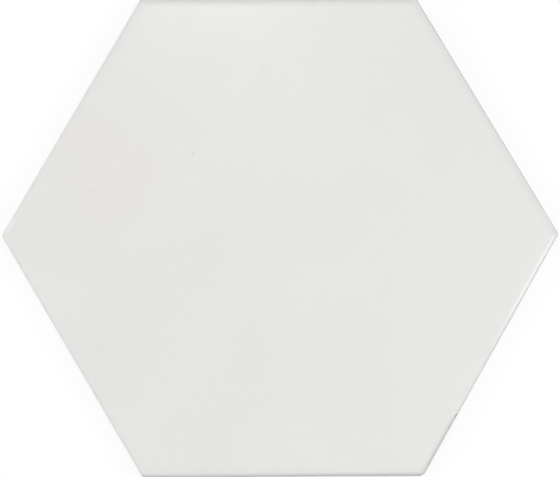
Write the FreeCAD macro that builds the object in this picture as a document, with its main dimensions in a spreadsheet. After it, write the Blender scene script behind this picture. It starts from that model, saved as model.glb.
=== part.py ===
import FreeCAD, Part
import Sketcher
import math
import os

from FreeCAD import Placement, Rotation, Vector

# Hexagonal floor tile, pressed from clay powder and fired in one piece.
# It lies on its keyed back at z = 0 with the glazed face up. Two corners lie on
# the X axis, and two of the six sides run across the Y axis.

# Driving dimensions in millimetres, and one angle in degrees. The cushion is the
# soft fall of the face towards its sides, the keys are the shallow cells in the
# back that mortar grips, and a land is the wall left between two cells.
SIZES = {
    "across_flats": 175.0,
    "thickness": 9.0,
    "corner_radius": 1.5,
    "cushion_width": 3.2,
    "cushion_drop": 0.32,
    "flat_corner": 4.0,
    "edge_radius": 1.0,
    "back_bevel": 0.8,
    "key_pitch": 16.0,
    "key_land": 2.0,
    "key_depth": 0.8,
    "key_draft": 20.0,
    "key_border": 10.0,
}

SIDES = 6
SIDE_TURN = 360.0 / SIDES
NEAR = 1e-4

# The cushion is an arc that leaves the flat face level and has dropped by
# cushion_drop where it meets the side.
CUSHION_RADIUS = "(Sizes.cushion_width ^ 2 + Sizes.cushion_drop ^ 2) / (2 * Sizes.cushion_drop)"
BLOCK_HALF = f"(Sizes.across_flats / 2 - Sizes.cushion_width + {CUSHION_RADIUS})"

# A ring of cells is a hexagon of rows, one row for each side of the tile.
KEY_HALF = "(Sizes.key_pitch - Sizes.key_land) / 2"
KEY_ROOM = f"Sizes.across_flats / 2 - Sizes.key_border - {KEY_HALF} / cos(30 deg)"
KEY_RINGS = f"floor(({KEY_ROOM}) / (Sizes.key_pitch * cos(30 deg)))"


def fill_sheet(doc):
    """Writes every driving dimension beside its name."""
    sheet = doc.addObject("Spreadsheet::Sheet", "Sizes")
    for row, (alias, value) in enumerate(SIZES.items(), start=1):
        sheet.set(f"A{row}", alias)
        sheet.set(f"B{row}", str(value))
        sheet.setAlias(f"B{row}", alias)
    doc.recompute()


def origin_feature(body, role):
    """One of the body's own base planes or axes."""
    for feature in body.Origin.OriginFeatures:
        if feature.Role == role:
            return feature
    raise ValueError(f"{body.Label} has no {role}")


def new_sketch(body, name, level="0"):
    """A level sketch, at a height given as an expression."""
    sketch = body.newObject("Sketcher::SketchObject", name)
    sketch.AttachmentSupport = [(origin_feature(body, "XY_Plane"), "")]
    sketch.MapMode = "FlatFace"
    sketch.setExpression("AttachmentOffset.Base.z", level)
    return sketch


def bind(sketch, kind, geometry, name, expression):
    """Adds one dimension to the sketch, names it and ties it to the sheet."""
    value = float(sketch.evalExpression(expression))
    number = sketch.addConstraint(Sketcher.Constraint(kind, *geometry, value))
    sketch.renameConstraint(number, name)
    sketch.setExpression(f"Constraints.{name}", expression)


def draw_circle(sketch, radius, name, centre_x="0", construction=False):
    """Draws a circle centred on the X axis, sized and placed by expressions."""
    middle = Vector(float(sketch.evalExpression(centre_x)), 0, 0)
    circle = Part.Circle(middle, Vector(0, 0, 1), float(sketch.evalExpression(radius)))
    drawn = sketch.addGeometry(circle, construction)
    sketch.addConstraint(Sketcher.Constraint("PointOnObject", drawn, 3, -1))
    bind(sketch, "DistanceX", (-1, 1, drawn, 3), f"{name}_x", centre_x)
    bind(sketch, "Radius", (drawn,), name, radius)
    return drawn


def draw_hexagon(sketch, half_flats, first_normal, centre_x="0"):
    """Draws a regular hexagon round a construction circle that touches its sides.

    The circle's radius is half the width across flats, and first_normal is the
    direction that the first side faces, in degrees.
    """
    guide = draw_circle(sketch, half_flats, "half_flats", centre_x, construction=True)
    middle = Vector(float(sketch.evalExpression(centre_x)), 0, 0)
    reach = float(sketch.evalExpression(half_flats)) / math.cos(math.radians(SIDE_TURN / 2))

    corners = []
    for corner in range(SIDES + 1):
        turn = math.radians(first_normal + (corner - 0.5) * SIDE_TURN)
        corners.append(middle + Vector(math.cos(turn), math.sin(turn), 0) * reach)

    sides = []
    for side in range(SIDES):
        line = Part.LineSegment(corners[side], corners[side + 1])
        sides.append(sketch.addGeometry(line, False))
    for side, line in enumerate(sides):
        following = sides[(side + 1) % SIDES]
        heading = math.radians(first_normal + 90 + side * SIDE_TURN)
        heading = math.remainder(heading, 2 * math.pi)
        sketch.addConstraint(Sketcher.Constraint("Coincident", line, 2, following, 1))
        sketch.addConstraint(Sketcher.Constraint("Tangent", line, guide))
        sketch.addConstraint(Sketcher.Constraint("Angle", line, heading))


def edges_where(feature, test):
    """Names of the feature's edges whose points all pass the test."""
    names = []
    for number, edge in enumerate(feature.Shape.Edges, start=1):
        if test(edge.discretize(5)):
            names.append(f"Edge{number}")
    return names


def upright(points):
    return all(math.hypot(p.x - points[0].x, p.y - points[0].y) < NEAR for p in points)


def at_level(level):
    return lambda points: all(abs(p.z - level) < NEAR for p in points)


def between(low, high):
    return lambda points: all(low < p.z < high for p in points)


def dress(base, kind, name, edges, size_name, expression):
    """Adds a fillet or chamfer along edges of the feature before it."""
    feature = tile.newObject(kind, name)
    feature.Base = (base, edges)
    feature.setExpression(size_name, expression)
    doc.recompute()
    return feature


def trim(name, sketch):
    """Cuts away all that lies under the sketch, inside its closed lines."""
    pocket = tile.newObject("PartDesign::Pocket", name)
    pocket.Profile = sketch
    pocket.Type = "ThroughAll"
    doc.recompute()
    return pocket


def cut_key(name, centre_x):
    """Cuts one drafted key cell up into the back, and returns its sketch and pocket."""
    sketch = new_sketch(tile, f"{name}_cell")
    draw_hexagon(sketch, KEY_HALF, 0.0, centre_x)
    pocket = tile.newObject("PartDesign::Pocket", name)
    pocket.Profile = sketch
    pocket.Reversed = True
    pocket.setExpression("Length", "Sizes.key_depth")
    pocket.setExpression("TaperAngle", "-Sizes.key_draft")
    doc.recompute()
    return sketch, pocket


doc = FreeCAD.newDocument("hexagon_tile")
fill_sheet(doc)
tile = doc.addObject("PartDesign::Body", "hexagon_tile")
tile.Label = "hexagon_tile"
tile.Placement = Placement(Vector(0, 0, 0), Rotation())

# The form that presses the face: a flat with rounded corners and one large radius
# that falls away all round it. Its block is wider and deeper than the tile, so
# that the radius runs on past the sides.
block_outline = new_sketch(tile, "block_outline", "Sizes.thickness")
draw_hexagon(block_outline, BLOCK_HALF, 30.0)
block = tile.newObject("PartDesign::Pad", "block")
block.Profile = block_outline
block.Reversed = True
block.setExpression("Length", f"Sizes.thickness + {CUSHION_RADIUS}")
doc.recompute()
block_corners = dress(
    block,
    "PartDesign::Fillet",
    "block_corners",
    edges_where(block, upright),
    "Radius",
    f"Sizes.flat_corner + {CUSHION_RADIUS}",
)
thickness = float(tile.evalExpression("Sizes.thickness"))
cushion = dress(
    block_corners,
    "PartDesign::Fillet",
    "cushion",
    edges_where(block_corners, at_level(thickness)),
    "Radius",
    CUSHION_RADIUS,
)

# The six sides: everything outside the tile's own outline is cut away.
tile_outline = new_sketch(tile, "tile_outline", "Sizes.thickness")
draw_hexagon(tile_outline, "Sizes.across_flats / 2", 30.0)
draw_circle(tile_outline, f"2 * {BLOCK_HALF}", "clear_of_block")
sides = trim("sides", tile_outline)

# The back: everything under z = 0 is cut away.
back_outline = new_sketch(tile, "back_outline")
draw_circle(back_outline, f"2 * {BLOCK_HALF}", "clear_of_block")
back = trim("back", back_outline)

# The corners in plan, the round arris between face and sides, and the small
# bevel round the back that keeps it from chipping.
corners = dress(
    back,
    "PartDesign::Fillet",
    "corners",
    edges_where(back, upright),
    "Radius",
    "Sizes.corner_radius",
)
arris = dress(
    corners,
    "PartDesign::Fillet",
    "arris",
    edges_where(corners, between(thickness / 2, thickness - NEAR)),
    "Radius",
    "min(Sizes.edge_radius; 0.9 * Sizes.corner_radius)",
)
back_edge = dress(
    arris,
    "PartDesign::Chamfer",
    "back_edge",
    edges_where(arris, at_level(0.0)),
    "Size",
    "min(Sizes.back_bevel; 0.9 * Sizes.corner_radius)",
)

# The keys: one cell in the middle, and one beside it that a row along X, rows
# stepped at 120 degrees and three turns about the middle repeat into full rings.
middle_cell, middle_key = cut_key("middle_key", "0")
first_cell, first_key = cut_key("first_key", "Sizes.key_pitch")
step = Vector(-math.cos(math.radians(SIDE_TURN)), math.sin(math.radians(SIDE_TURN)), 0)
pitch = float(tile.evalExpression("Sizes.key_pitch"))
stepped = first_cell.addGeometry(Part.LineSegment(Vector(0, 0, 0), step * pitch), True)
first_cell.addConstraint(Sketcher.Constraint("Coincident", stepped, 1, -1, 1))
first_cell.addConstraint(Sketcher.Constraint("Angle", stepped, math.radians(2 * SIDE_TURN)))
bind(first_cell, "Distance", (stepped,), "step", "Sizes.key_pitch")
doc.recompute()

keys = tile.newObject("PartDesign::MultiTransform", "keys")
keys.Originals = [first_key]
row = tile.newObject("PartDesign::LinearPattern", "key_row")
row.Direction = (first_cell, ["H_Axis"])
row.Mode = "Spacing"
row.setExpression("Offset", "Sizes.key_pitch")
row.setExpression("Occurrences", KEY_RINGS)
rows = tile.newObject("PartDesign::LinearPattern", "key_rows")
rows.Direction = (first_cell, ["Axis0"])
rows.Mode = "Spacing"
rows.setExpression("Offset", "Sizes.key_pitch")
rows.setExpression("Occurrences", f"{KEY_RINGS} + 1")
turns = tile.newObject("PartDesign::PolarPattern", "key_turns")
turns.Axis = (first_cell, ["N_Axis"])
turns.Angle = 360
turns.Occurrences = SIDES // 2
keys.Transformations = [row, rows, turns]
tile.Tip = keys
doc.recompute()

for part in doc.Objects:
    if {"Invalid", "Error"} & set(part.State):
        raise RuntimeError(f"{part.Name} did not build: {part.State}")
if tile.Shape.isNull() or not tile.Shape.isValid() or len(tile.Shape.Solids) != 1:
    raise RuntimeError("the tile is not one valid solid")

# Full rings of cells number 3n(n + 1), and each cell has a level floor of its own.
rings = int(tile.evalExpression(KEY_RINGS))
key_depth = float(tile.evalExpression("Sizes.key_depth"))
floors = [face for face in tile.Shape.Faces if at_level(key_depth)([v.Point for v in face.Vertexes])]
if len(floors) != 3 * rings * (rings + 1) + 1:
    raise RuntimeError(f"{len(floors)} key cells for {rings} rings")

os.makedirs("parts", exist_ok=True)
tile.Shape.exportStep(f"parts/{tile.Label}.step")
print(f"{tile.Label}: {tile.Shape.Volume / 1000:.1f} cm3, {len(floors)} key cells in {rings} rings")
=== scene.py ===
import math

import bmesh
import bpy
from mathutils import Matrix, Vector, noise


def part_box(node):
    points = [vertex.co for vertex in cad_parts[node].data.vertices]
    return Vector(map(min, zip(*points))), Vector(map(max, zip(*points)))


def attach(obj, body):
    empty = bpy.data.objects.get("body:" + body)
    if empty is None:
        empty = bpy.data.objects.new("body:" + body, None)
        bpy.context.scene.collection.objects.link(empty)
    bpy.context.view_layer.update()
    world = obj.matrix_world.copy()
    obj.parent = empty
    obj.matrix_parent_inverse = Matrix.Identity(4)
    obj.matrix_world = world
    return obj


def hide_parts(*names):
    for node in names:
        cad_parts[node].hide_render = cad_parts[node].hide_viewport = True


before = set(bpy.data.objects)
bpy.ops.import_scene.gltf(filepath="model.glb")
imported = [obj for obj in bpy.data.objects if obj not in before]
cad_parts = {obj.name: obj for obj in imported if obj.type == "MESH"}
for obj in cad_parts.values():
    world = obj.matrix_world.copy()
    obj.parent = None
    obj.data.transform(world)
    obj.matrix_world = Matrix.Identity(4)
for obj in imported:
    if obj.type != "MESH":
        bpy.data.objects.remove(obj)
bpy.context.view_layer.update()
MM = 0.001

# The pressed face, rim and sides
# One plate of stoneware clay, pressed from powder in a steel die. The punch leaves a flat face that rolls
# off gently near its rim, then a cushioned rim and a round arris. The die wall leaves upright sides.
HAIR = 0.002
half_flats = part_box("hexagon_tile")[1].y / MM - HAIR
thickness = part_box("hexagon_tile")[1].z / MM
CORNER_RADIUS = 1.5
CUSHION_WIDTH = 3.2
CUSHION_DROP = 0.32
FLAT_CORNER = 4.0
ROLL_WIDTH = 3.5
ROLL_DROP = 0.03
ARRIS_RADIUS = 1.0
WAVE_SIZE = 34.0
WAVE_DEPTH = 0.035
RIPPLE_SIZE = 9.0
RIPPLE_DEPTH = 0.004
SLOPE_STEP = 0.02
TOUCH_ROUNDS = 4
COLUMNS = 84
ARC_COLUMNS = 5
ARC_SHARE = ARC_COLUMNS / COLUMNS
CUSHION_LOOPS = 10
ARRIS_LOOPS = 9

# How thin the glaze lies on the cushion and on the arris of each side, from the rear right side round to
# the front right one: 0 is the full coat, and at 1 the most clay shows through. The glaze does thin over
# the arris, but these strengths are set side by side and also paint shade along the rim, darkest on the
# front arris.
REAR_LEFT, FRONT_RIGHT = 2, 5
THIN_AND_SHADED_CUSHION = (0.22, 0.56, 0.0, 0.05, 0.12, 0.0)
THIN_AND_SHADED_ARRIS = (0.38, 0.22, 0.02, 0.26, 0.55, 0.22)

# The front right side is darker near its rim over this share of its length, from the front corner on.
DARKER_RIM_SIDE = FRONT_RIGHT
DARKER_RIM_STRETCH = 0.275
DARKER_RIM_FADE = 0.03
DARKER_RIM_POWER = 5
DARKER_RIM_ARRIS = 0.8

# Painted highlights along the rim, as bands of whiter glaze: for each side, its first and last distance
# from the corner that ends the side, the length of its fading end, and how strong. It starts this share of
# the way down the cushion.
PAINTED_HIGHLIGHT_BANDS = {REAR_LEFT: (1.0, 9.0, 3.0, 0.6), FRONT_RIGHT: (0.5, 50.0, 20.0, 0.64)}
HIGHLIGHT_START = 0.6
HIGHLIGHT_SOFTNESS = 0.25
HIGHLIGHT_WANDER = 0.12
HIGHLIGHT_WANDER_SIZE = 3
HIGHLIGHT_ARRIS_LOOPS = 3


def towards(degrees):
    """The level direction at this angle from +X."""
    return Vector((math.cos(math.radians(degrees)), math.sin(math.radians(degrees)), 0))


def held(value):
    """A value held between 0 and 1."""
    return min(max(value, 0), 1)


def hexagon_point(half, radius, side, share, arc_share=ARC_SHARE, turn=0):
    """A point of a hexagon with rounded corners, share of the way along one side, and the way out there."""
    to_corner = (half - radius) / math.cos(math.radians(30))
    start = towards(60 * side + turn) * to_corner
    end = towards(60 * side + 60 + turn) * to_corner
    if share < arc_share:
        out = towards(60 * side + 30 * share / arc_share + turn)
        return start + out * radius, out
    if share > 1 - arc_share:
        out = towards(60 * side + 60 - 30 * (1 - share) / arc_share + turn)
        return end + out * radius, out
    out = towards(60 * side + 30 + turn)
    return start.lerp(end, (share - arc_share) / (1 - 2 * arc_share)) + out * radius, out


def outside_flat(place):
    """How far a place lies outside the flat middle of the face. It is negative on the middle itself."""
    side = math.floor(math.degrees(math.atan2(place.y, place.x)) / 60)
    over = place.dot(towards(60 * side + 30))
    along = abs(place.dot(towards(60 * side + 120)))
    to_arc = half_flats - CUSHION_WIDTH - FLAT_CORNER
    arc_along = to_arc * math.tan(math.radians(30))
    if along < arc_along:
        return over - to_arc - FLAT_CORNER
    return math.hypot(over - to_arc, along - arc_along) - FLAT_CORNER


def face_height(place):
    """Height of the glazed face: flat with faint waves, rolled off at its rim, dished over the cushion."""
    level = Vector((place.x, place.y, 0))
    waves = WAVE_DEPTH * (1 + noise.noise(level / WAVE_SIZE)) / 2
    waves += RIPPLE_DEPTH * (1 + noise.noise(level / RIPPLE_SIZE)) / 2
    out = outside_flat(level)
    rolled = max(out + ROLL_WIDTH, 0) / ROLL_WIDTH
    roll = ROLL_DROP * (rolled**2 if rolled < 1 else 2 * rolled - 1)
    bend = (CUSHION_WIDTH**2 + CUSHION_DROP**2) / (2 * CUSHION_DROP)
    dish = bend - math.sqrt(bend**2 - max(out, 0) ** 2)
    return thickness - waves - roll - dish


def face_normal(place):
    """The way straight out of the glazed face at a place."""
    right, rear = Vector((SLOPE_STEP, 0, 0)), Vector((0, SLOPE_STEP, 0))
    rise_right = face_height(place + right) - face_height(place - right)
    rise_rear = face_height(place + rear) - face_height(place - rear)
    return Vector((-rise_right, -rise_rear, 2 * SLOPE_STEP)).normalized()


def highlight_band(side, edge, down):
    """How strong the painted highlight is, this share of the way down the cushion beside this point."""
    first, last, fade, most = PAINTED_HIGHLIGHT_BANDS.get(side, (0, 0, 1, 0))
    away = (edge - towards(60 * side + 60) * half_flats / math.cos(math.radians(30))).length
    along = held(min(away - first, (last - away) / fade))
    across = held((down - HIGHLIGHT_START - HIGHLIGHT_WANDER * noise.noise(edge / HIGHLIGHT_WANDER_SIZE)) / HIGHLIGHT_SOFTNESS)
    return most * along * across


def rim_column(side, share):
    """Points down one column of the rim, over cushion and arris, each with how thin the glaze lies there,
    with painted shade.

    The value is below 0 where a highlight is painted on the rim."""
    edge, out = hexagon_point(half_flats, CORNER_RADIUS, side, share)
    middle = edge - out * ARRIS_RADIUS
    touch = middle
    for _ in range(TOUCH_ROUNDS):
        lean = face_normal(touch)
        touch = middle + Vector((lean.x, lean.y, 0)) * ARRIS_RADIUS
    inner = hexagon_point(half_flats - CUSHION_WIDTH, FLAT_CORNER, side, share)[0]
    # How much darker the front right rim is here.
    darker_rim = held((DARKER_RIM_STRETCH - share) / DARKER_RIM_FADE) if side == DARKER_RIM_SIDE else 0
    points = []
    for loop in range(CUSHION_LOOPS):
        down = loop / CUSHION_LOOPS
        place = inner.lerp(touch, down)
        place.z = face_height(place)
        # The thin glaze here carries painted shade along the rim.
        thin = max(darker_rim * down**DARKER_RIM_POWER, THIN_AND_SHADED_CUSHION[side] * down)
        points.append((place, thin - highlight_band(side, edge, down)))
    ball = Vector((middle.x, middle.y, face_height(touch) - lean.z * ARRIS_RADIUS))
    for loop in range(ARRIS_LOOPS + 1):
        over = THIN_AND_SHADED_ARRIS[side] * math.sin(math.pi * (loop + 1) / (ARRIS_LOOPS + 2))
        thin = max(over, DARKER_RIM_ARRIS * darker_rim, 0 if loop else thin)
        # The painted highlight runs onto the first loops of the arris.
        thick = highlight_band(side, edge, 1) * max(1 - loop / HIGHLIGHT_ARRIS_LOOPS, 0)
        points.append((ball + lean.slerp(out, loop / ARRIS_LOOPS) * ARRIS_RADIUS, thin - thick))
    return points


# The edge of the glaze
# Glaze is poured over the face and runs a little way down the sides. Its lower edge wanders and ends in a
# rounded lip, and the bare clay under it lies back by the thickness of the coat.
GLAZE_COAT = 0.14
GLAZE_LINE = 5.7
LINE_WAVES = ((16.0, 0.75), (4.5, 0.3))
LIP = ((0.0, 0.45, 0.3), (0.0, 0.22, 0.5), (0.02, 0.11, 0.7),
       (0.06, 0.03, 1), (0.11, 0, 1), (GLAZE_COAT, 0.01, 1))
GLAZE_LOOPS = 3
THIN_SIDE = 0.2


def glaze_side(arris_end, edge, out):
    """Points down the glazed strip of a side, ending with the lip of the glaze."""
    line = GLAZE_LINE + sum(depth * noise.noise(edge / size) for size, depth in LINE_WAVES)
    lip = [(edge - out * inset + Vector((0, 0, line + up)), thin) for inset, up, thin in LIP]
    strip = [(arris_end.lerp(lip[0][0], loop / GLAZE_LOOPS), THIN_SIDE) for loop in range(1, GLAZE_LOOPS)]
    return strip + lip


# The bare sides and the bevel round the back
# Under the glaze the sides are bare fired clay. A fine step shows where the punch entered the die, and a
# small bevel round the back keeps the edge from chipping.
UNDER_LIP = 0.2
STEP_HEIGHT = 2.2
STEP_SLOPE = 0.06
STEP_INSET = 0.2
CLAY_LOOPS = 4
BEVEL = 0.8
BEVEL_ROUND = 0.12
BEVEL_HOLD = 4 * BEVEL_ROUND
LAST_INSET = 1.3


def clay_side(lip_end, edge, out):
    """Points down the bare side, over the die's step and the bevel, to the plain border of the back."""
    start = lip_end.z - UNDER_LIP
    stop = STEP_HEIGHT + STEP_SLOPE
    upright = [(GLAZE_COAT, start + (stop - start) * loop / CLAY_LOOPS) for loop in range(CLAY_LOOPS + 1)]
    bevel_top = BEVEL - STEP_INSET
    step = [(STEP_INSET, STEP_HEIGHT - STEP_SLOPE), (STEP_INSET, bevel_top + BEVEL_HOLD)]
    step.append((STEP_INSET, bevel_top + BEVEL_ROUND))
    bevel = [(STEP_INSET + BEVEL_ROUND, bevel_top - BEVEL_ROUND), (BEVEL - BEVEL_ROUND, BEVEL_ROUND)]
    back = [(BEVEL + BEVEL_ROUND, 0), (LAST_INSET, 0)]
    return [(edge - out * inset + Vector((0, 0, up)), 0) for inset, up in upright + step + bevel + back]


# Each column of the rim and the sides is joined to the next one round the tile.
GLAZE, CLAY = 0, 1
plate = bmesh.new()
thinness_and_painted_light = plate.verts.layers.float.new("thin_glaze_and_painted_light")
columns = []
for side in range(6):
    for step in range(COLUMNS):
        share = step / COLUMNS
        edge, out = hexagon_point(half_flats, CORNER_RADIUS, side, share)
        column = rim_column(side, share)
        column += glaze_side(column[-1][0], edge, out)
        glaze_rows = len(column) - 1
        column += clay_side(column[-1][0], edge, out)
        columns.append([plate.verts.new(point) for point, _ in column])
        for vertex, (_, thin) in zip(columns[-1], column):
            vertex[thinness_and_painted_light] = thin

for column, following in zip(columns, columns[1:] + columns[:1]):
    for row in range(len(column) - 1):
        face = plate.faces.new((column[row], column[row + 1], following[row + 1], following[row]))
        face.material_index = GLAZE if row < glaze_rows else CLAY

# The flat face is closed from the rim to its middle, in rings that go from rounded to even hexagons.
EVEN_POWER = 5
flat_half = half_flats - CUSHION_WIDTH
outer = [column[0] for column in columns]
for count in range(COLUMNS - 1, -1, -1):
    scale = count / COLUMNS
    to_corner = flat_half * scale / math.cos(math.radians(30))
    ring = []
    for side in range(6 if count else 1):
        for step in range(max(count, 1)):
            share = step / max(count, 1)
            even = (towards(60 * side) * to_corner).lerp(towards(60 * side + 60) * to_corner, share)
            rounded = hexagon_point(flat_half, FLAT_CORNER, side, share)[0] * scale
            place = even.lerp(rounded, scale**EVEN_POWER)
            place.z = face_height(place)
            ring.append(plate.verts.new(place))
    for side in range(6):
        for step in range(count + 1):
            near = outer[side * (count + 1) + step]
            far = outer[(side * (count + 1) + step + 1) % len(outer)]
            inner = ring[(side * count + step) % len(ring)]
            plate.faces.new((near, far, inner))
            if step < count:
                plate.faces.new((far, ring[(side * count + step + 1) % len(ring)], inner))
    outer = ring

# Pinholes and the nick
# Gas burst through the melting glaze and left a few pinholes, short furrows and a bead. A knock has chipped
# the arris near the front right corner down to the clay. The hollows and the nick carry painted shade,
# darker than the clay itself, and the bead and two streaks by the front right rim carry painted highlights.
MARK_MARGIN = 0.06
MARK_RISE = 1
EDGES_IN_MARK = 3
NICK_PLACE = Vector((62.5, -66.35, 8.6))
NICK_OUT = -30
NICK_ALONG = 60
NICK_LENGTH = 1.15
NICK_WIDTH = 0.46
NICK_DEPTH = 0.31
NICK_POWER = 0.7
NICK_BARE = 4
NICK_RAGGED = ((0.7, 0.6), (0.3, 0.5))
NICK_REACH = 1.4
NICK_EDGE = 0.09
CUT_REACH = 3
bare_and_painted_shade = plate.verts.layers.float.new("bare_and_painted_shade")

# Each mark has its place, half its width both ways, its depth, and how bare it lays the clay under painted
# shade. Below 0 it stands up instead, or it carries a painted highlight of whiter glaze.
MARKS = {
    "large pinhole": ((-31.69, 30.08), (0.46, 0.38), 0.26, 0.5),
    "low pinhole": ((-32.05, 29.0), (0.32, 0.3), 0.2, 0.48),
    "high pinhole": ((-31.25, 31.5), (0.27, 0.3), 0.17, 0.34),
    "right furrow": ((12.14, 45.7), (0.2, 0.95), 0.12, 0.28),
    "far furrow": ((18.1, 53.0), (0.2, 0.85), 0.11, 0.23),
    "rear furrow": ((-4.95, 70.85), (0.95, 0.2), 0.11, 0.27),
    "middle furrow": ((-11.15, 36.58), (0.8, 0.2), 0.1, 0.18),
    "rear middle furrow": ((-19.6, 60.8), (0.75, 0.2), 0.09, 0.18),
    "rear left furrow": ((-57.5, 60.27), (0.85, 0.2), 0.09, 0.2),
    "left corner furrow": ((-82.2, 15.1), (0.8, 0.2), 0.08, 0.12),
    "left furrow": ((-74.8, 4.85), (0.6, 0.2), 0.09, 0.15),
    "right corner furrow": ((61.2, 8.85), (1.3, 0.2), 0.09, 0.16),
    "front left furrow": ((-58.1, -49.15), (0.2, 1.1), 0.08, 0.07),
    "rear left pit": ((-59.1, 58.7), (0.24, 0.32), 0.1, 0.25),
    "rear pit": ((-32.2, 78.45), (0.26, 0.32), 0.1, 0.25),
    "left pit": ((-78.9, -0.7), (0.24, 0.24), 0.1, 0.25),
    "middle pit": ((-23.9, 14.75), (0.24, 0.32), 0.1, 0.2),
    "rear dimple": ((-6.35, 61.5), (1.0, 0.65), 0.04, 0.1),
    "left dimple": ((-69.0, 16.2), (0.75, 0.75), 0.04, 0.1),
    "rim furrow": ((59.0, -59.73), (1.1, 0.16), 0.08, 0.25),
    "upper rim painted highlight": ((58.8, -59.33), (0.9, 0.22), 0, -0.4),
    "lower rim painted highlight": ((59.1, -60.13), (1.3, 0.24), 0, -0.6),
    "bead": ((61.48, -65.3), (0.4, 0.55), -0.14, -1.2),
}

# Each spot has its place, how far it reaches to each side, and the longest edge wanted there.
spots = []
for (x, y), (half_x, half_y), _, _ in MARKS.values():
    reach = Vector((half_x + MARK_MARGIN, half_y + MARK_MARGIN, MARK_RISE))
    spots.append((Vector((x, y, thickness)), reach, min(half_x, half_y) / EDGES_IN_MARK))
spots.append((NICK_PLACE, Vector((NICK_REACH, NICK_REACH, NICK_REACH)), NICK_EDGE))


def outside(place, spot, reach):
    """How far a place lies outside a box that reaches this far to each side of a spot."""
    return Vector([max(abs(away) - far, 0) for away, far in zip(place - spot, reach)]).length


def near_a_spot(face):
    """Whether a face lies close enough to one of the spots to be cut there."""
    middle = face.calc_center_median()
    return any(outside(middle, spot, reach) < CUT_REACH for spot, reach, _ in spots)


def too_long(edge):
    """Whether an edge touches one of the spots and is longer than the longest wanted there."""
    length = edge.calc_length()
    middle = (edge.verts[0].co + edge.verts[1].co) / 2
    for spot, reach, longest in spots:
        if length > longest and outside(middle, spot, reach) < length / 2:
            return True
    return False


# The faces near the spots are halved again and again, until their edges are short enough to show the marks.
fresh = bmesh.ops.triangulate(plate, faces=[face for face in plate.faces if near_a_spot(face)])["faces"]
while fresh:
    around = dict.fromkeys(edge for face in fresh for edge in face.edges)
    edges = [edge for edge in around if too_long(edge)]
    made = bmesh.ops.subdivide_edges(plate, edges=edges, cuts=1, use_single_edge=True)["geom"]
    corners = [part for part in made if isinstance(part, bmesh.types.BMVert)]
    touched = list(dict.fromkeys(face for corner in corners for face in corner.link_faces))
    cut = bmesh.ops.triangulate(plate, faces=[face for face in touched if len(face.verts) > 3])["faces"]
    fresh = list(dict.fromkeys([face for face in touched if face.is_valid] + cut))

for (x, y), (half_x, half_y), depth, bare in MARKS.values():
    for vertex in plate.verts:
        out = ((vertex.co.x - x) / half_x) ** 2 + ((vertex.co.y - y) / half_y) ** 2
        if out < 1 and vertex.co.z > thickness / 2:
            vertex.co.z -= depth * (1 - out) ** 2
            vertex[bare_and_painted_shade] = max(bare, 0) * (1 - out)
            vertex[thinness_and_painted_light] += min(bare, 0) * (1 - out)

nick_in = -(towards(NICK_OUT) + Vector((0, 0, 1))).normalized()
nick_along = towards(NICK_ALONG)
for vertex in plate.verts:
    away = vertex.co - NICK_PLACE
    along = away.dot(nick_along)
    across = (away - nick_along * along).length
    ragged = 1 + sum(share * noise.noise(vertex.co / size) for size, share in NICK_RAGGED)
    out = ((along / NICK_LENGTH) ** 2 + (across / NICK_WIDTH) ** 2) * ragged
    if out < 1:
        vertex.co += nick_in * NICK_DEPTH * (1 - out) ** NICK_POWER
        vertex[bare_and_painted_shade] = min(NICK_BARE * (1 - out), 1)

# The keyed back
# The lower punch presses shallow six-sided cells into the back, so that the bedding mortar keys into it.
# They have sloping walls and softly rounded edges, and stand in full rings inside a plain border.
KEY_PITCH = 16.0
KEY_HALF = 7.0
KEY_DEPTH = 0.8
KEY_DRAFT = 20
KEY_CORNER = 1.0
KEY_TURN = 30
KEY_LIP = 0.3
KEY_FOOT = 0.35
KEY_RINGS = 5
KEY_COLUMNS = 6
KEY_ARC_SHARE = 2 / KEY_COLUMNS
KEY_ARC_STEPS = 3
KEY_JOIN = 0.01


def key_profile():
    """Half widths and heights of a key's wall, from the land up to its floor, with both edges rounded."""
    meet = math.tan(math.radians(45 - KEY_DRAFT / 2))
    floor_half = KEY_HALF - KEY_DEPTH * math.tan(math.radians(KEY_DRAFT))
    rows = []
    for step in range(KEY_ARC_STEPS + 1):
        angle = math.radians(-90 - (90 - KEY_DRAFT) * step / KEY_ARC_STEPS)
        reach = KEY_HALF + meet * KEY_LIP + KEY_LIP * math.cos(angle)
        rows.append((reach, KEY_LIP + KEY_LIP * math.sin(angle)))
    for step in range(KEY_ARC_STEPS + 1):
        angle = math.radians(KEY_DRAFT + (90 - KEY_DRAFT) * step / KEY_ARC_STEPS)
        reach = floor_half - meet * KEY_FOOT + KEY_FOOT * math.cos(angle)
        rows.append((reach, KEY_DEPTH - KEY_FOOT + KEY_FOOT * math.sin(angle)))
    return rows


def key_loop(centre, half, radius, height):
    """One six-sided loop of a key round its centre."""
    arc_share = KEY_ARC_SHARE if radius else 0
    loop = []
    for side in range(6):
        for step in range(KEY_COLUMNS):
            place = hexagon_point(half, radius, side, step / KEY_COLUMNS, arc_share, turn=KEY_TURN)[0]
            loop.append(plate.verts.new(centre + place + Vector((0, 0, height))))
    return loop


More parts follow.
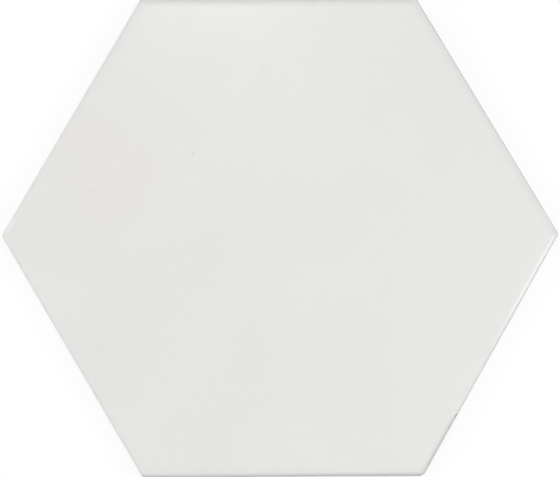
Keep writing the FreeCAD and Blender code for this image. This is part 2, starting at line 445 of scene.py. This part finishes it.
land_rims = []
for right in range(-KEY_RINGS, KEY_RINGS + 1):
    for left in range(-KEY_RINGS, KEY_RINGS + 1):
        if abs(right - left) > KEY_RINGS:
            continue
        centre = (towards(0) * right + towards(120) * left) * KEY_PITCH
        loops = [key_loop(centre, KEY_PITCH / 2, 0, 0)]
        land_rims += loops[0]
        for half, height in key_profile():
            loops.append(key_loop(centre, half, KEY_CORNER + half - KEY_HALF, height))
        for wide, narrow in zip(loops, loops[1:]):
            for step in range(len(wide)):
                after = (step + 1) % len(wide)
                face = plate.faces.new((wide[step], narrow[step], narrow[after], wide[after]))
                face.material_index = CLAY
        floor_middle = plate.verts.new(centre + Vector((0, 0, KEY_DEPTH)))
        for step in range(len(narrow)):
            after = (step + 1) % len(narrow)
            plate.faces.new((narrow[step], floor_middle, narrow[after])).material_index = CLAY

bmesh.ops.remove_doubles(plate, verts=land_rims, dist=KEY_JOIN)
open_edges = [edge for edge in plate.edges if edge.is_boundary]
for part in bmesh.ops.triangle_fill(plate, edges=open_edges, use_beauty=True)["geom"]:
    if isinstance(part, bmesh.types.BMFace):
        part.material_index = CLAY
bmesh.ops.recalc_face_normals(plate, faces=plate.faces)

bmesh.ops.scale(plate, vec=(MM, MM, MM), verts=plate.verts)
for face in plate.faces:
    face.smooth = True
tile_mesh = bpy.data.meshes.new("glazed_tile")
plate.to_mesh(tile_mesh)
plate.free()
tile = bpy.data.objects.new("glazed_tile", tile_mesh)
bpy.context.scene.collection.objects.link(tile)
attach(tile, "root")
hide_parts("hexagon_tile")

# The glaze
# An off-white opaque glaze with a satin gloss, fired on. It clouds a little in tone, thins over the arris,
# where a breath of the clay shows through under painted shade, holds a few faint specks, and has a faint
# orange-peel skin. It also carries broad patches of painted shade, painted highlights of whiter glaze along
# the rim, and painted shade in its hollows and the nick.
GLAZE_WHITE = (0.785, 0.79, 0.77, 1)
GLAZE_WARM = (0.79, 0.775, 0.755, 1)
GLAZE_THIN_AND_SHADED = (0.615, 0.615, 0.6, 1)
PAINTED_HIGHLIGHT_WHITE = (0.9, 0.905, 0.885, 1)
GLAZE_SPECK = (0.62, 0.62, 0.59, 1)
CHIP_CLAY_IN_PAINTED_SHADE = (0.4, 0.39, 0.36, 1)
CLOUD_SIZE = 40
CLOUD_TONES = (0.988, 1.012)
CLOUD_ROUGHNESS = (0.17, 0.22)
WARM_SIZE = 26
WARM_NOISE = (0.45, 0.75)
WARM_SHARES = (0.0, 0.35)
MOTTLE_SIZE = 1.6
MOTTLE_TONES = (0.996, 1.004)
SPECK_SPACING = 6
SPECK_SIZE = 0.35
SPECK_SHARE = 0.3
SPECK_STRENGTH = 0.5
PATCH_SIZE = 5
PATCH_SHARES = (0.65, 1.0)
PEEL_SIZE = 2.4
PEEL_STRENGTH = 0.25
PEEL_DEPTH = 0.02
FINE_PEEL_SIZE = 0.5
FINE_PEEL_SHARE = 0.1
BROKEN_SIZE = 0.3
BROKEN_HEIGHT = 12.0
BROKEN_ROUGHNESS = 0.5
GLAZE_IOR = 1.5
SOFT_NOISE = (0.3, 0.7)
NONE_TO_FULL = (0.0, 1.0)
FULL_TO_NONE = (1.0, 0.0)
BELOW_NONE = (-1.0, 0.0)

# Faint patches of painted shade on the glaze, each with its middle, how far it reaches, and its tint. The
# warm left one also tints the glaze itself warmer.
GLAZE_TONES_AND_PAINTED_SHADE = {
    "rear left": ((-54, 60), 50, (0.981, 0.981, 0.981, 1)),
    "rear middle": ((-26, 68), 24, (0.989, 0.989, 0.989, 1)),
    "left corner": ((-88, 4), 32, (0.984, 0.984, 0.984, 1)),
    "warm left": ((-64, 24), 36, (1.0, 0.974, 0.979, 1)),
    "right": ((62, -22), 50, (0.989, 0.989, 0.989, 1)),
    "front left": ((-76, -46), 36, (0.982, 0.982, 0.982, 1)),
    "front middle": ((12, -44), 46, (0.991, 0.991, 0.991, 1)),
}

# A Mix node's sockets for two colours, and for the colour that comes out.
MIX_FIRST, MIX_SECOND, MIX_RESULT = 6, 7, 2


def add(tree, kind, inputs, **settings):
    """One node in a tree. inputs gives a value, or another node's output, for each of its sockets."""
    node = tree.nodes.new("ShaderNode" + kind)
    for name, value in settings.items():
        setattr(node, name, value)
    for name, value in inputs.items():
        if isinstance(value, bpy.types.NodeSocket):
            tree.links.new(value, node.inputs[name])
        else:
            node.inputs[name].default_value = value
    return node


def noise_at(tree, place, size, detail=2.0):
    """The output of a soft noise whose lumps are about size mm across."""
    inputs = {"Vector": place, "Scale": 1 / (size * MM), "Detail": detail}
    return add(tree, "TexNoise", inputs).outputs["Fac"]


def spread(tree, value, given, wanted, **settings):
    """A value from the given range, spread over the wanted one and held inside it."""
    sockets = ("From Min", "From Max", "To Min", "To Max")
    inputs = {"Value": value, **dict(zip(sockets, given + wanted))}
    return add(tree, "MapRange", inputs, **settings).outputs[0]


def faded(tree, away, reach):
    """1 at the middle of a spot, going softly down to 0 at its reach."""
    return spread(tree, away, (0.0, reach), FULL_TO_NONE, interpolation_type="SMOOTHSTEP")


def calculated(tree, operation, *values):
    """The result of a sum or other operation on one or two values."""
    return add(tree, "Math", dict(enumerate(values)), operation=operation).outputs[0]


def times(tree, first, second):
    """Two values multiplied."""
    return calculated(tree, "MULTIPLY", first, second)


def blend(tree, share, first, second):
    """The first colour, going over to the second one by share."""
    inputs = {"Factor": share, MIX_FIRST: first, MIX_SECOND: second}
    return add(tree, "Mix", inputs, data_type="RGBA").outputs[MIX_RESULT]


def tinted(tree, colour, tone):
    """A colour multiplied by a tone or a tint near 1."""
    inputs = {"Factor": 1.0, MIX_FIRST: colour, MIX_SECOND: tone}
    return add(tree, "Mix", inputs, data_type="RGBA", blend_type="MULTIPLY").outputs[MIX_RESULT]


def new_material(name):
    """A material with an empty tree, and that tree."""
    material = bpy.data.materials.new(name)
    material.use_nodes = True
    material.node_tree.nodes.clear()
    return material, material.node_tree


# Round specks of a size, in a share of the cells of a spacing. Both the glaze and the clay hold some.
specks = bpy.data.node_groups.new("specks", "ShaderNodeTree")
for name, kind in (("Place", "Vector"), ("Spacing", "Float"), ("Size", "Float"), ("Share", "Float")):
    specks.interface.new_socket(name, in_out="INPUT", socket_type="NodeSocket" + kind)
specks.interface.new_socket("Mask", in_out="OUTPUT", socket_type="NodeSocketFloat")
given = specks.nodes.new("NodeGroupInput").outputs
scale = calculated(specks, "DIVIDE", 1.0, given["Spacing"])
cells = add(specks, "TexVoronoi", {"Vector": given["Place"], "Scale": scale}).outputs
reach = calculated(specks, "DIVIDE", given["Size"], given["Spacing"])
dot = faded(specks, cells["Distance"], reach)
chance = add(specks, "SeparateColor", {0: cells["Color"]}).outputs[0]
kept = calculated(specks, "LESS_THAN", chance, given["Share"])
found = specks.nodes.new("NodeGroupOutput")
specks.links.new(times(specks, dot, kept), found.inputs["Mask"])


def speck_mask(tree, place, spacing, size, share, strength):
    """The specks group at this strength: soft round specks about size mm wide, spacing mm apart."""
    inputs = {"Place": place, "Spacing": spacing * MM, "Size": size * MM, "Share": share}
    return times(tree, add(tree, "Group", inputs, node_tree=specks).outputs["Mask"], strength)


glaze, tree = new_material("off_white_glaze")
place = add(tree, "TexCoord", {}).outputs["Object"]
clouds = noise_at(tree, place, CLOUD_SIZE)
colour = tinted(tree, GLAZE_WHITE, spread(tree, clouds, SOFT_NOISE, CLOUD_TONES))
warmth = noise_at(tree, place, WARM_SIZE, detail=1.0)
colour = blend(tree, spread(tree, warmth, WARM_NOISE, WARM_SHARES), colour, GLAZE_WARM)
for (x, y), reach, tint in GLAZE_TONES_AND_PAINTED_SHADE.values():
    middle = Vector((x, y, thickness)) * MM
    away = add(tree, "VectorMath", {0: place, 1: middle}, operation="DISTANCE").outputs["Value"]
    colour = blend(tree, faded(tree, away, reach * MM), colour, tinted(tree, colour, tint))
mottle = noise_at(tree, place, MOTTLE_SIZE, detail=1.0)
colour = tinted(tree, colour, spread(tree, mottle, SOFT_NOISE, MOTTLE_TONES))
dots = speck_mask(tree, place, SPECK_SPACING, SPECK_SIZE, SPECK_SHARE, SPECK_STRENGTH)
colour = blend(tree, dots, colour, GLAZE_SPECK)
# This mask carries thin glaze with painted shade, and below 0 painted highlights.
coat_and_painted_light = add(tree, "Attribute", {}, attribute_name="thin_glaze_and_painted_light").outputs["Fac"]
patchy = spread(tree, noise_at(tree, place, PATCH_SIZE), SOFT_NOISE, PATCH_SHARES)
# Thin glaze with painted shade: darker where this mask is higher.
thin = times(tree, spread(tree, coat_and_painted_light, NONE_TO_FULL, NONE_TO_FULL), patchy)
colour = blend(tree, thin, colour, GLAZE_THIN_AND_SHADED)
# Where the value is below 0, a highlight is painted as whiter glaze.
colour = blend(tree, spread(tree, coat_and_painted_light, BELOW_NONE, FULL_TO_NONE), colour, PAINTED_HIGHLIGHT_WHITE)
# Bare clay in the chip and the hollows, painted darker than the clay itself as shade.
bare = add(tree, "Attribute", {}, attribute_name="bare_and_painted_shade").outputs["Fac"]
colour = blend(tree, bare, colour, CHIP_CLAY_IN_PAINTED_SHADE)
gloss = spread(tree, clouds, SOFT_NOISE, CLOUD_ROUGHNESS)
gloss = calculated(tree, "ADD", gloss, times(tree, bare, BROKEN_ROUGHNESS))
peel = noise_at(tree, place, PEEL_SIZE, detail=1.0)
peel = calculated(tree, "ADD", peel, times(tree, noise_at(tree, place, FINE_PEEL_SIZE), FINE_PEEL_SHARE))
broken = times(tree, bare, times(tree, noise_at(tree, place, BROKEN_SIZE, detail=3.0), BROKEN_HEIGHT))
peel = calculated(tree, "ADD", peel, broken)
inputs = {"Strength": PEEL_STRENGTH, "Distance": PEEL_DEPTH * MM, "Height": peel}
skin = add(tree, "Bump", inputs).outputs[0]
inputs = {"Base Color": colour, "Roughness": gloss, "IOR": GLAZE_IOR, "Normal": skin}
shader = add(tree, "BsdfPrincipled", inputs)
add(tree, "OutputMaterial", {"Surface": shader.outputs[0]})
tile_mesh.materials.append(glaze)

# The bare clay
# Buff stoneware, fired matt, with pale and dark grains. The sides carry faint upright marks from the push
# out of the die. A whitish kiln wash, dragged by the rollers of the kiln, clings to the lands of the back.
CLAY_BUFF = (0.58, 0.54, 0.47, 1)
CLAY_DARK = (0.3, 0.24, 0.18, 1)
CLAY_PALE = (0.72, 0.69, 0.62, 1)
KILN_WASH = (0.76, 0.75, 0.71, 1)
FIRING_SIZE = 14
FIRING_TONES = (0.93, 1.06)
POWDER_SIZE = 0.7
POWDER_TONES = (0.95, 1.05)
POWDER_ROUGHNESS = (0.78, 0.92)
POWDER_DEPTH = 0.08
POWDER_STRENGTH = 0.6
UPRIGHT_FACING = (0.2, 0.5)
SCRATCH_STRETCH = (1, 1, 0.04)
SCRATCH_SIZE = 0.6
SCRATCH_NOISE = (0.35, 0.65)
SCRATCH_TONES = (1.0, 0.94)
SCRATCH_HEIGHT = 0.6
ROLLER_STRETCH = (1, 0.08, 1)
STREAK_SIZE = 2.5
STREAK_NOISE = (0.38, 0.62)
STREAK_SHARES = (0.25, 1.0)
LAND_RISE = (0.02 * MM, 0.12 * MM)
LAND_FACING = (-0.95, -0.7)
WASH_NOISE = (0.3, 0.6)
WASH_SHARES = (0.5, 1.0)

# Each kind of grain has its spacing, its size, the share of cells that hold one, its strength and colour.
GRAINS = {
    "pale": (1.6, 0.3, 0.35, 0.7, CLAY_PALE),
    "fine dark": (2.2, 0.28, 0.3, 0.8, CLAY_DARK),
    "coarse dark": (5.5, 0.6, 0.3, 0.65, CLAY_DARK),
}
clay, tree = new_material("bare_clay")
place = add(tree, "TexCoord", {}).outputs["Object"]
rise = add(tree, "SeparateXYZ", {0: place}).outputs["Z"]
facing = add(tree, "SeparateXYZ", {0: add(tree, "NewGeometry", {}).outputs["Normal"]}).outputs["Z"]
firing = noise_at(tree, place, FIRING_SIZE, detail=4.0)
colour = tinted(tree, CLAY_BUFF, spread(tree, firing, SOFT_NOISE, FIRING_TONES))
powder = noise_at(tree, place, POWDER_SIZE, detail=3.0)
colour = tinted(tree, colour, spread(tree, powder, SOFT_NOISE, POWDER_TONES))
for spacing, size, share, strength, grain in GRAINS.values():
    colour = blend(tree, speck_mask(tree, place, spacing, size, share, strength), colour, grain)
drawn = add(tree, "Mapping", {0: place, "Scale": SCRATCH_STRETCH}).outputs[0]
scratches = noise_at(tree, drawn, SCRATCH_SIZE)
upright = spread(tree, calculated(tree, "ABSOLUTE", facing), UPRIGHT_FACING, FULL_TO_NONE)
marks = times(tree, upright, spread(tree, scratches, SCRATCH_NOISE, NONE_TO_FULL))
colour = tinted(tree, colour, spread(tree, marks, NONE_TO_FULL, SCRATCH_TONES))
rolled = add(tree, "Mapping", {0: place, "Scale": ROLLER_STRETCH}).outputs[0]
streaks = spread(tree, noise_at(tree, rolled, STREAK_SIZE, detail=3.0), STREAK_NOISE, STREAK_SHARES)
lowest = spread(tree, rise, LAND_RISE, FULL_TO_NONE)
land = times(tree, lowest, spread(tree, facing, LAND_FACING, FULL_TO_NONE))
wash = times(tree, land, times(tree, streaks, spread(tree, powder, WASH_NOISE, WASH_SHARES)))
colour = blend(tree, wash, colour, KILN_WASH)
height = calculated(tree, "ADD", powder, times(tree, marks, SCRATCH_HEIGHT))
inputs = {"Strength": POWDER_STRENGTH, "Distance": POWDER_DEPTH * MM, "Height": height}
grit = add(tree, "Bump", inputs).outputs[0]
dull = spread(tree, powder, SOFT_NOISE, POWDER_ROUGHNESS)
shader = add(tree, "BsdfPrincipled", {"Base Color": colour, "Roughness": dull, "Normal": grit})
add(tree, "OutputMaterial", {"Surface": shader.outputs[0]})
tile_mesh.materials.append(clay)

# The floor
# A plain white sheet that the tile lies on. It shows as white with a faint shadow, and it is open under the
# tile, so that the keyed back can be looked at from below.
FLOOR_REACH = 6000 * MM
OPENING_INSET = 3.0
SHEET_GAP = 0.05
SHEET_GLOW = 0.84
SHEET_SHADE = (0.18, 0.18, 0.18, 1)
SHEET_BOUNCE = (0.75, 0.75, 0.75, 1)
PURE_WHITE = (1, 1, 1, 1)
sheet = bmesh.new()
opening = [sheet.verts.new((towards(60 * side) * (half_flats - OPENING_INSET) / math.cos(math.radians(30))
                            - Vector((0, 0, SHEET_GAP))) * MM) for side in range(6)]
outline = [sheet.verts.new(towards(60 * side) * FLOOR_REACH - Vector((0, 0, SHEET_GAP * MM)))
           for side in range(6)]
for side in range(6):
    after = (side + 1) % 6
    sheet.faces.new((opening[side], outline[side], outline[after], opening[after]))
floor_mesh = bpy.data.meshes.new("floor")
sheet.to_mesh(floor_mesh)
sheet.free()
floor = bpy.data.objects.new("floor", floor_mesh)
bpy.context.scene.collection.objects.link(floor)


def seen_directly(tree):
    """1 for rays from the camera, also mirrored or passed on, and 0 for rays that gather soft light."""
    rays = add(tree, "LightPath", {}).outputs
    either = calculated(tree, "MAXIMUM", rays["Is Camera Ray"], rays["Is Glossy Ray"])
    return calculated(tree, "MAXIMUM", either, rays["Is Transmission Ray"])


white, tree = new_material("white_sheet")
glow = add(tree, "Emission", {"Color": PURE_WHITE, "Strength": SHEET_GLOW})
shade = add(tree, "BsdfDiffuse", {"Color": SHEET_SHADE})
shown = add(tree, "AddShader", {0: glow.outputs[0], 1: shade.outputs[0]})
bounce = add(tree, "BsdfDiffuse", {"Color": SHEET_BOUNCE})
both = add(tree, "MixShader", {0: seen_directly(tree), 1: bounce.outputs[0], 2: shown.outputs[0]})
add(tree, "OutputMaterial", {"Surface": both.outputs[0]})
floor_mesh.materials.append(white)

# The studio light
# A tent of soft panels: a broad one overhead, narrower ones behind, at both sides and in front, and one
# under the open floor for looking at the back. A plain white backdrop closes the tent.
BACKDROP_LIGHT = 0.02
BACKDROP_SHOWN = 1.0

# Each panel has its place and its width and depth in metres, and its power in watts.
PANELS = {
    "overhead": ((0.0, 0.11, 1.30), 1.6, 1.6, 9.1),
    "rear_near": ((-0.01, 0.37, 1.30), 0.14, 0.1, 0.15),
    "rear_strip": ((0.0, 0.46, 1.30), 0.24, 0.08, 0.26),
    "rear_right": ((0.49, 0.49, 0.98), 0.5, 0.4, 0.22),
    "right": ((0.42, 0.0, 0.91), 0.3, 0.3, 0.1),
    "right_near": ((0.24, 0.0, 0.45), 0.08, 0.12, 0.015),
    "right_corner": ((0.475, -0.082, 0.46), 0.18, 0.38, 1.2),
    "right_far": ((0.94, 0.54, 0.51), 0.6, 0.4, 1.0),
    "left": ((-0.71, 0.0, 0.71), 0.4, 0.4, 1.2),
    "left_rear": ((-0.94, 0.54, 0.51), 0.6, 0.4, 2.6),
    "left_front": ((-0.94, -0.54, 0.51), 0.6, 0.4, 2.6),
    "front": ((0.0, -0.82, 0.57), 0.5, 0.3, 1.1),
    "under": ((0.1, -0.3, -0.6), 0.8, 0.8, 6.0),
}
for name, (spot, wide, deep, watts) in PANELS.items():
    lamp = bpy.data.lights.new(name, "AREA")
    lamp.shape = "RECTANGLE"
    lamp.size = wide
    lamp.size_y = deep
    lamp.energy = watts
    panel = bpy.data.objects.new(name, lamp)
    panel.location = spot
    panel.rotation_euler = (-Vector(spot)).to_track_quat("-Z", "Y").to_euler()
    bpy.context.scene.collection.objects.link(panel)

world = bpy.data.worlds.new("studio")
world.use_nodes = True
tree = world.node_tree
tree.nodes.clear()
fill = add(tree, "Background", {"Color": PURE_WHITE, "Strength": BACKDROP_LIGHT})
backdrop = add(tree, "Background", {"Color": PURE_WHITE, "Strength": BACKDROP_SHOWN})
both = add(tree, "MixShader", {0: seen_directly(tree), 1: fill.outputs[0], 2: backdrop.outputs[0]})
add(tree, "OutputWorld", {"Surface": both.outputs[0]})
bpy.context.scene.world = world

# The camera
# It looks down on the face from 1.2 m away, from a little to the front and to the left of straight above.
DISTANCE = 1.2
LENS = 212.9
FARTHEST = 20
AIM = Vector((-0.454, -1.544, 8.6)) * MM
TILT_SIDE = 2.338
TILT_FRONT = -8.592
TWIST = 0.178
tilt = Matrix.Rotation(math.radians(TILT_SIDE), 4, "Y") @ Matrix.Rotation(math.radians(TILT_FRONT), 4, "X")
tilt = tilt @ Matrix.Rotation(math.radians(TWIST), 4, "Z")
camera = bpy.data.objects.new("camera", bpy.data.cameras.new("camera"))
camera.data.lens = LENS
camera.data.clip_end = FARTHEST
camera.matrix_world = Matrix.Translation(AIM) @ tilt.transposed() @ Matrix.Translation((0, 0, DISTANCE))
bpy.context.scene.collection.objects.link(camera)
bpy.context.scene.camera = camera
bpy.context.scene.view_settings.view_transform = "Standard"
